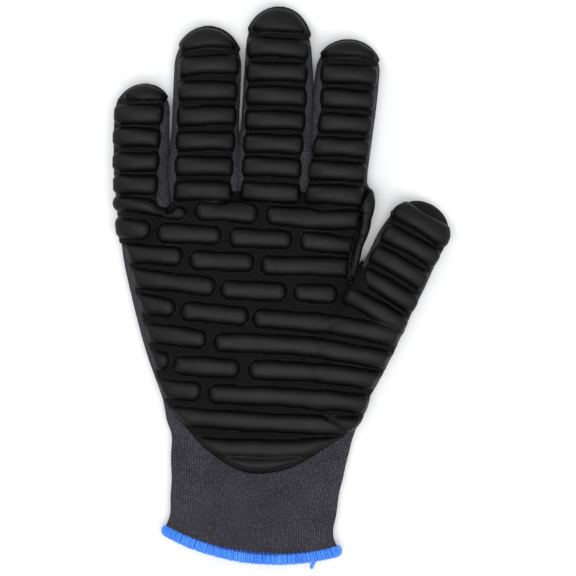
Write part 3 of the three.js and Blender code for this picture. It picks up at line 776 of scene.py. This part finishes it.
# Ribs of the palm, row by row from the fingers down, as shares of the palm's width and length:
# both ends, the arch of the middle, and the side on which the rib runs out over the edge
PALM_RIBS = [
    (-0.187, 0.953, 0.064, 0.937, 0, ""),
    (0.096, 0.938, 0.468, 0.925, -0.015, "right"),
    (-0.497, 0.886, -0.362, 0.872, 0, "left"), (-0.338, 0.862, -0.08, 0.846, 0, ""),
    (-0.052, 0.842, 0.199, 0.829, 0, ""), (0.231, 0.829, 0.437, 0.808, 0, "right"),
    (-0.482, 0.782, -0.234, 0.757, 0, "left"), (-0.207, 0.75, 0.048, 0.733, 0, ""),
    (0.076, 0.725, 0.414, 0.717, 0, "right"),
    (-0.465, 0.68, -0.106, 0.633, 0, "left"), (-0.084, 0.625, 0.175, 0.612, 0, ""),
    (0.203, 0.612, 0.374, 0.604, 0, ""),
    (-0.445, 0.577, -0.262, 0.545, 0, "left"), (-0.239, 0.537, 0.024, 0.512, 0, ""),
    (0.044, 0.504, 0.605, 0.425, 0.017, "right"),
    (-0.412, 0.453, -0.138, 0.416, 0, "left"), (-0.111, 0.404, 0.565, 0.325, 0.025, "right"),
    (-0.385, 0.35, -0.286, 0.321, 0, "left"), (-0.27, 0.312, -0.008, 0.296, 0, ""),
    (0.024, 0.292, 0.525, 0.246, 0.012, "right"),
    (-0.35, 0.22, -0.162, 0.2, 0, "left"), (-0.135, 0.192, 0.477, 0.15, 0.008, "right"),
    (-0.31, 0.107, 0.49, 0.06, -0.01, "both"), (-0.235, -0.01, 0.44, -0.01, -0.03, "both"),
    (-0.08, -0.09, 0.3, -0.085, -0.025, "both"),
]


def inside_outline(x, y, corners):
    """Distance inside a closed outline, below 0 outside it."""
    nearest = np.full(x.shape, 1e9)
    inside = np.zeros(x.shape, bool)
    for (ax, ay), (bx, by) in zip(corners, corners[1:] + corners[:1]):
        dx, dy = bx - ax, by - ay
        t = np.clip(((x - ax) * dx + (y - ay) * dy) / max(dx * dx + dy * dy, 1e-9), 0, 1)
        nearest = np.minimum(nearest, np.hypot(x - ax - t * dx, y - ay - t * dy))
        crosses = (ay > y) != (by > y)
        inside ^= crosses & (x < ax + dx * (y - ay) / (dy if abs(dy) > 1e-9 else 1e-9))
    return np.where(inside, nearest, -nearest)


def smooth_outline(points, steps):
    """A closed curve through points, as short straight runs."""
    count = len(points)
    run = []
    for k in range(count):
        a, b, c, d = (np.array(points[(k + o) % count]) for o in (-1, 0, 1, 2))
        for t in np.arange(steps) / steps:
            run.append(tuple(0.5 * (2 * b + (c - a) * t + (2 * a - 5 * b + 4 * c - d) * t * t
                                    + (3 * b - a - 3 * c + d) * t ** 3)))
    return run


def along_across(limb, x, y):
    """Where a place on the plan lies in a limb's own directions."""
    dx, dy = x - limb["root"][0], y - limb["root"][1]
    across = dx * math.cos(limb["lean"]) - dy * math.sin(limb["lean"])
    return across, dx * math.sin(limb["lean"]) + dy * math.cos(limb["lean"])


def band_level(limb, x, y):
    """Distance inside the coated band of a finger, notched at each valley between its ribs."""
    across, along = along_across(limb, x, y)
    share = along / limb["length"]
    left = column(BANDS[limb["name"]], 1, share) * limb["width"]
    right = column(BANDS[limb["name"]], 2, share) * limb["width"]
    from_tip = (limb["length"] - limb["first"] - along) / limb["step"]
    beat = np.abs(from_tip - np.rint(from_tip)) * 2
    notch = NOTCH * (0.5 - 0.5 * np.cos(np.pi * np.clip(beat, 0, 1))) ** 2
    notch = np.where((from_tip > 0) & (along > VALLEY_FROM), notch, 0)
    level = np.minimum(across + left - notch, right - across - notch)
    return np.minimum(level, along - FINGER_START)


def coat_level(points):
    """Above 0 where the hand is coated; about the distance to the coating's edge."""
    x, y, z = points.T
    outline = smooth_outline([(a * PALM_WIDTH, b * PALM_LENGTH) for a, b in PALM_OUTLINE], 4)
    level = inside_outline(x, y, outline)
    for limb in FINGERS:
        level = np.maximum(level, band_level(limb, x, y))
    return np.minimum(level, z - COAT_LOW_EDGE)


def round_box(inside_x, inside_y, corner):
    """Distance inside a shape with round corners, from the distances inside its sides."""
    qx, qy = corner - inside_x, corner - inside_y
    out = np.hypot(np.maximum(qx, 0), np.maximum(qy, 0)) + np.minimum(np.maximum(qx, qy), 0)
    return corner - out


def inside_path(x, y, run):
    """Distance inside a bar along straight runs, whose points give place and half width."""
    deepest = np.full(x.shape, -1e9)
    for a, b in zip(run[:-1], run[1:]):
        d = b[:2] - a[:2]
        s = np.clip(((x - a[0]) * d[0] + (y - a[1]) * d[1]) / max(d @ d, 1e-9), 0, 1)
        half = a[2] + s * (b[2] - a[2])
        deepest = np.maximum(deepest, half - np.hypot(x - a[0] - s * d[0], y - a[1] - s * d[1]))
    return deepest


def palm_rib_depth(x, y, row):
    """Distance inside one rib of the palm, a bowed bar with round ends."""
    ax, ay, bx, by, arch, run_out = row
    start = np.array([ax * PALM_WIDTH, ay * PALM_LENGTH])
    end = np.array([bx * PALM_WIDTH, by * PALM_LENGTH])
    chord = (end - start) / np.linalg.norm(end - start)
    start = start - chord * (RUN_OUT if run_out in ("left", "both") else 0)
    end = end + chord * (RUN_OUT if run_out in ("right", "both") else 0)
    middle = 0.5 * (start + end) + 2 * arch * PALM_LENGTH * np.array([-chord[1], chord[0]])
    t = np.linspace(0, 1, 11)[:, None]
    run = (1 - t) ** 2 * start + 2 * t * (1 - t) * middle + t * t * end
    first, last = run[1] - run[0], run[-1] - run[-2]
    first, last = first / np.linalg.norm(first), last / np.linalg.norm(last)
    run = np.vstack([start - END_RUN * first, run, end + END_RUN * last])
    ends = np.minimum((x - start[0]) * first[0] + (y - start[1]) * first[1],
                      (end[0] - x) * last[0] + (end[1] - y) * last[1])
    inside = inside_path(x, y, np.hstack([run, np.full((len(run), 1), PALM_RIB_HALF)]))
    return round_box(ends, inside, PALM_CORNER)


def finger_rib_depth(x, y, limb, number, bow, tilt):
    """Distance inside one rib of a finger; the first one is a cap over the fingertip."""
    across, along = along_across(limb, x, y)
    at = limb["length"] - limb["first"] - number * limb["step"]
    share = min(at / limb["length"], 1)
    straight = limb["length"] - limb["round"]
    closing = math.sqrt(1 - min(max(at - straight, 0) / limb["round"], 1) ** 2)
    reach = [float(column(limb["rows"], side, share)) * limb["width"] for side in (1, 2)]
    offset = 0.5 * (reach[1] - reach[0])
    widest = RIB_REACH * (0.5 * (reach[0] + reach[1]) * closing + COAT)
    left = min(float(column(BANDS[limb["name"]], 1, share)) * limb["width"], widest - offset)
    right = min(float(column(BANDS[limb["name"]], 2, share)) * limb["width"], widest + offset)
    half = 0.5 * (left + right) - END_INSET
    side = across - 0.5 * (right - left)
    off = along - at - bow * (1 - (side / half) ** 2) - tilt * side
    bar = round_box(half - np.abs(side), FINGER_RIB_HALF - np.abs(off), CORNER)
    if number > 0:
        return bar
    wide = 0.5 * (reach[0] + reach[1]) + COAT_GROW
    tip = np.hypot((across - offset) / wide, np.maximum(along - straight, 0) / limb["round"])
    if limb["name"] == "thumb":
        return np.minimum(bar, (1 - tip) * wide - THUMB_INSET)
    return round_box((1 - tip) * wide - CAP_INSET, limb["cap"] + off, CORNER)


def crease_distance(x, y):
    """Distance from the crease beside the index finger's root."""
    return -inside_path(x, y, np.hstack([np.array(CREASE), np.zeros((len(CREASE), 1))]))


def rib_depth(points):
    """Distance inside the nearest rib, below 0 between the ribs."""
    x, y = points[:, 0], points[:, 1]
    waver = LONG_WAVER * np.sin(x / 4.7 + 1.9 * np.sin(y / 6.3))
    waver += SHORT_WAVER * np.sin(x / 2.3 - y / 8.9)
    best = inside_path(x, y, np.array(HOOK_RIB) * (PALM_WIDTH, PALM_LENGTH, 1.0))
    for row in PALM_RIBS:
        best = np.maximum(best, palm_rib_depth(x, y, row))
    sway = random.Random(3)
    for limb in FINGERS:
        for number in range(limb["ribs"]):
            bow = sway.uniform(-0.4, 0.8)
            tilt = sway.uniform(-0.02, 0.02) + limb["tilt"] * (1 - number / limb["ribs"])
            best = np.maximum(best, finger_rib_depth(x, y, limb, number, bow, tilt))
    best = best + waver
    crease = crease_distance(x, y)
    beyond = x > np.interp(y, *np.array(CREASE)[::-1, ::-1].T)
    on_roll = beyond & (crease < ROLL_REACH) & (y > ROLL_FROM) & (y < ROLL_TO)
    return np.where(on_roll, inside_path(x, y, np.array(SIDE_ROLL)) + ROLL_DEPTH,
                    np.minimum(best, crease - CREASE_HALF))


def knit_place(points):
    """Where each point lies in its own limb's knit, and how free of the palm that limb is."""
    x, y = points[:, 0], points[:, 1]
    across, along, free = x.copy(), y.copy(), np.zeros(x.shape)
    best = np.full(x.shape, OWN_KNIT_EDGE)
    for limb in FINGERS:
        own_across, own_along = along_across(limb, x, y)
        level = band_level(limb, x, y)
        mine = (own_along > OWN_KNIT_FROM) & (level > best)
        best = np.where(mine, level, best)
        across, along = np.where(mine, own_across, across), np.where(mine, own_along, along)
    for limb in FINGERS:
        own_across, own_along = along_across(limb, x, y)
        begins = THUMB_FREE_FROM if limb["name"] == "thumb" else FREE_FROM
        part = np.clip((own_along - begins) / FREE_FADE, 0, 1)
        free = np.maximum(free, np.where(np.abs(own_across) < 0.6 * limb["width"], part, 0))
    return across, along, free


def cut_away(bm, level):
    """Splits faces where the level passes 0 and deletes what lies below."""
    for edge in list(bm.edges):
        a, b = edge.verts
        if a[level] * b[level] < 0:
            share = a[level] / (a[level] - b[level])
            made = bmesh.utils.edge_split(edge, a, share)[1]
            made[level] = 0.0
    for face in list(bm.faces):
        values = [vertex[level] for vertex in face.verts]
        if min(values) < 0 < max(values):
            on_line = [vertex for vertex in face.verts if vertex[level] == 0]
            if len(on_line) == 2:
                bmesh.utils.face_split(face, on_line[0], on_line[1])
    below = [face for face in bm.faces if min(vertex[level] for vertex in face.verts) < 0]
    bmesh.ops.delete(bm, geom=below, context="FACES")


# The skin under the ribs: palm, fingers, wrist and side roll, joined and smoothed into one.
# The fingers are fuller at their roots here, as the foam bridges the folds between them.
bm = bmesh.new()
for limb in [palm] + FINGERS:
    if limb is not palm:
        root = limb["rows"][0]
        full_root = (0, root[1] + ROOT_GROW, root[2] + ROOT_GROW, ROOT_THICK)
        limb = dict(limb, rows=[full_root] + limb["rows"][1:])
    angles = even_angles(limb, 0.5 * limb["length"], COAT_SIDES)
    along = stations(limb, -0.5, COAT_GROW, COAT_PACE)

    def grown(turn, row, limb=limb, angles=angles, along=along):
        """One limb, grown to where the foam lies on it."""
        return limb_point(limb, angles[turn], along[row], COAT_GROW)

    shaped_grid(bm, COAT_SIDES, len(along) - 1, grown)
wrist_angles = even_angles(cuff, 0.5 * CUFF_LENGTH, COAT_SIDES)
wrist_along = np.linspace(WRIST_FROM, CUFF_LENGTH + WRIST_PAST, WRIST_ROWS)


def wrist_grown(turn, row):
    """The cuff's upper part, grown in the same way."""
    return cuff_point(wrist_angles[turn], wrist_along[row], COAT_GROW)


shaped_grid(bm, COAT_SIDES, WRIST_ROWS - 1, wrist_grown)


def roll_shape(turn, row):
    """The roll of foam beside the index finger's root, an oval tube."""
    place = np.array(SIDE_ROLL)[row]
    angle = 2 * math.pi * turn / ROLL_SIDES
    tall = ROLL_TALL * place[:, 2] / max(spot[2] for spot in SIDE_ROLL)
    return np.stack([place[:, 0] + place[:, 2] * np.cos(angle), place[:, 1],
                     ROLL_MIDDLE + tall * np.sin(angle)], axis=-1)


shaped_grid(bm, ROLL_SIDES, len(SIDE_ROLL) - 1, roll_shape)
rims = [edge for edge in bm.edges if edge.is_boundary]
bmesh.ops.holes_fill(bm, edges=rims, sides=0)
union = add_object("union", finish_mesh(bm, "union"))
remesh = union.modifiers.new("remesh", "REMESH")
remesh.mode = "VOXEL"
remesh.voxel_size = VOXEL * MM
remeshed = union.evaluated_get(bpy.context.evaluated_depsgraph_get())
whole = bpy.data.meshes.new_from_object(remeshed)
bpy.data.objects.remove(union)

bm = bmesh.new()
bm.from_mesh(whole)
bpy.data.meshes.remove(whole)
for _ in range(SMOOTH_ROUNDS):
    bmesh.ops.smooth_vert(bm, verts=bm.verts, factor=0.5, use_axis_x=True, use_axis_y=True,
                          use_axis_z=True)

# Only what lies inside the coating's edge is kept
to_plan = -np.array([PLAN_SHIFT[0], PLAN_SHIFT[1], 0.0])
points = np.array([vertex.co for vertex in bm.verts]) / MM + to_plan
layers = bm.verts.layers.float
for name in ("rib", "level", "wale", "course"):
    layers.new(name)
rib, level, wale, course = layers["rib"], layers["level"], layers["wale"], layers["course"]
for vertex, value in zip(bm.verts, coat_level(points)):
    vertex[level] = 0.0 if abs(value) < LEVEL_SNAP else value
cut_away(bm, level)
loose = [vertex for vertex in bm.verts if not vertex.link_faces]
bmesh.ops.delete(bm, geom=loose, context="VERTS")

# The skin is doubled, and its outer side is lifted by the foam's thickness and the ribs
bm.normal_update()
skin = bmesh.ops.extrude_face_region(bm, geom=list(bm.faces), use_keep_orig=True)["geom"]
outer = [item for item in skin if isinstance(item, bmesh.types.BMVert)]
points = np.array([vertex.co for vertex in outer]) / MM + to_plan
bm.normal_update()
normals = np.array([vertex.normal for vertex in outer])
depth = rib_depth(points)
edge = np.array([vertex[level] for vertex in outer])
lip = np.clip(edge / COAT, 0, 1)
thick = COAT * (0.3 + 0.7 * np.sqrt(1 - (1 - lip) ** 2))
rise = np.sqrt(1 - (1 - np.clip(depth / SHOULDER, 0, 1)) ** 2)
fold_width = np.where(depth > FOLD_AT, FOLD_INNER, FOLD_OUTER)
fold = -FOLD_DEPTH * np.exp(-((depth - FOLD_AT) / fold_width) ** 2)
swell = 1 + RIB_SWELL * np.sin(points[:, 0] / 7.3 + points[:, 1] / 11.9)
knit_across, knit_along, free = knit_place(points)
run_out = np.clip(edge / (PALM_FADE + free * (FINGER_FADE - PALM_FADE)), 0, 1)
base = LEAST_RUN + FREE_RUN * free
run_out = base + (1 - base) * run_out * run_out * (3 - 2 * run_out)
crease = np.exp(-(crease_distance(points[:, 0], points[:, 1]) / CREASE_HALF) ** 2)
facing = SIDE_RISE + (1 - SIDE_RISE) * np.clip(normals[:, 2] / FULL_FACING, 0, 1)
lift = thick + RIB_HEIGHT * rise * swell * run_out * facing + fold * np.clip(edge / 1.5, 0, 1)
lift = np.maximum(lift - CREASE_DEPTH * crease, np.minimum(lift, LEAST_LIFT))
moved = (points - to_plan + normals * lift[:, None]) * MM
for k, vertex in enumerate(outer):
    vertex.co = moved[k]
    vertex[rib] = depth[k]
    # The outer skin's level also sinks to 0 in the crease, so that the shader paints the crease
    # dark: painted shade
    vertex[level] = edge[k] * (1 - crease[k])
    vertex[wale] = knit_across[k] / WALE
    vertex[course] = knit_along[k] / COURSE
coating = add_object("foam_coating", finish_mesh(bm, "foam_coating"))

# The dark end is the foam's black, and at the folds, the coating's edge and the crease it is
# painted shade
FOAM_BLACK_AND_FOLD_SHADE = (0.0005, 0.0005, 0.0005, 1)
# The light end is the crests' painted highlight, and also the knit that shows through in the
# valleys
FOAM_CREST_HIGHLIGHT_AND_KNIT = (0.0085, 0.0085, 0.0087, 1)
look, start, feed = new_material("foam_rubber")
place = start.node("ShaderNodeTexCoord", {}, {}, 3)


def attribute(name):
    """A value that the mesh carries at each of its points."""
    return start.node("ShaderNodeAttribute", {"attribute_name": name}, {}, 2)


# Crests are painted lighter towards their tops, a painted highlight broken up by mottle and
# rubbed wear; the folds at the ribs' feet are painted black, painted shade, and the knit shows
# faintly in the valleys
on_rib = attribute("rib")
crest_highlight = on_rib.step(0.0, 3.6)
valley = 1.0 - on_rib.step(-1.2, -0.35)
mottle = place.noise(55.0, 3.0)
rub = place.noise(150.0, 4.0)
uneven = place.noise(420.0) - 0.5
knit_through = stitches(attribute("wale") + uneven * 0.5, attribute("course") + uneven * 0.6)
# Within 0.8 mm of the coating's edge and in the crease the colour is painted darker: painted
# shade
edge_and_crease_shade = attribute("level").step(0.0, 0.8)
tone = crest_highlight * (0.55 + mottle * 0.5 + rub * 0.35) + valley * knit_through ** 1.6 * 1.9
tone = tone * edge_and_crease_shade
feed("Base Color", tone.colour(FOAM_BLACK_AND_FOLD_SHADE, FOAM_CREST_HIGHLIGHT_AND_KNIT))
feed("Roughness", 0.5 + valley * 0.25 + (rub - 0.5) * 0.2)
feed("Specular IOR Level", 0.14)
pores = place.noise(2400.0, 3.0).bump(0.00006, 0.6)
creases = rub.bump(0.0005, 0.4, pores)
feed("Normal", ((knit_through - 0.5) * valley).bump(0.0008, 0.9, creases))
coating.data.materials.append(look)
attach(coating, "root")
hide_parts("ribbed_coating")
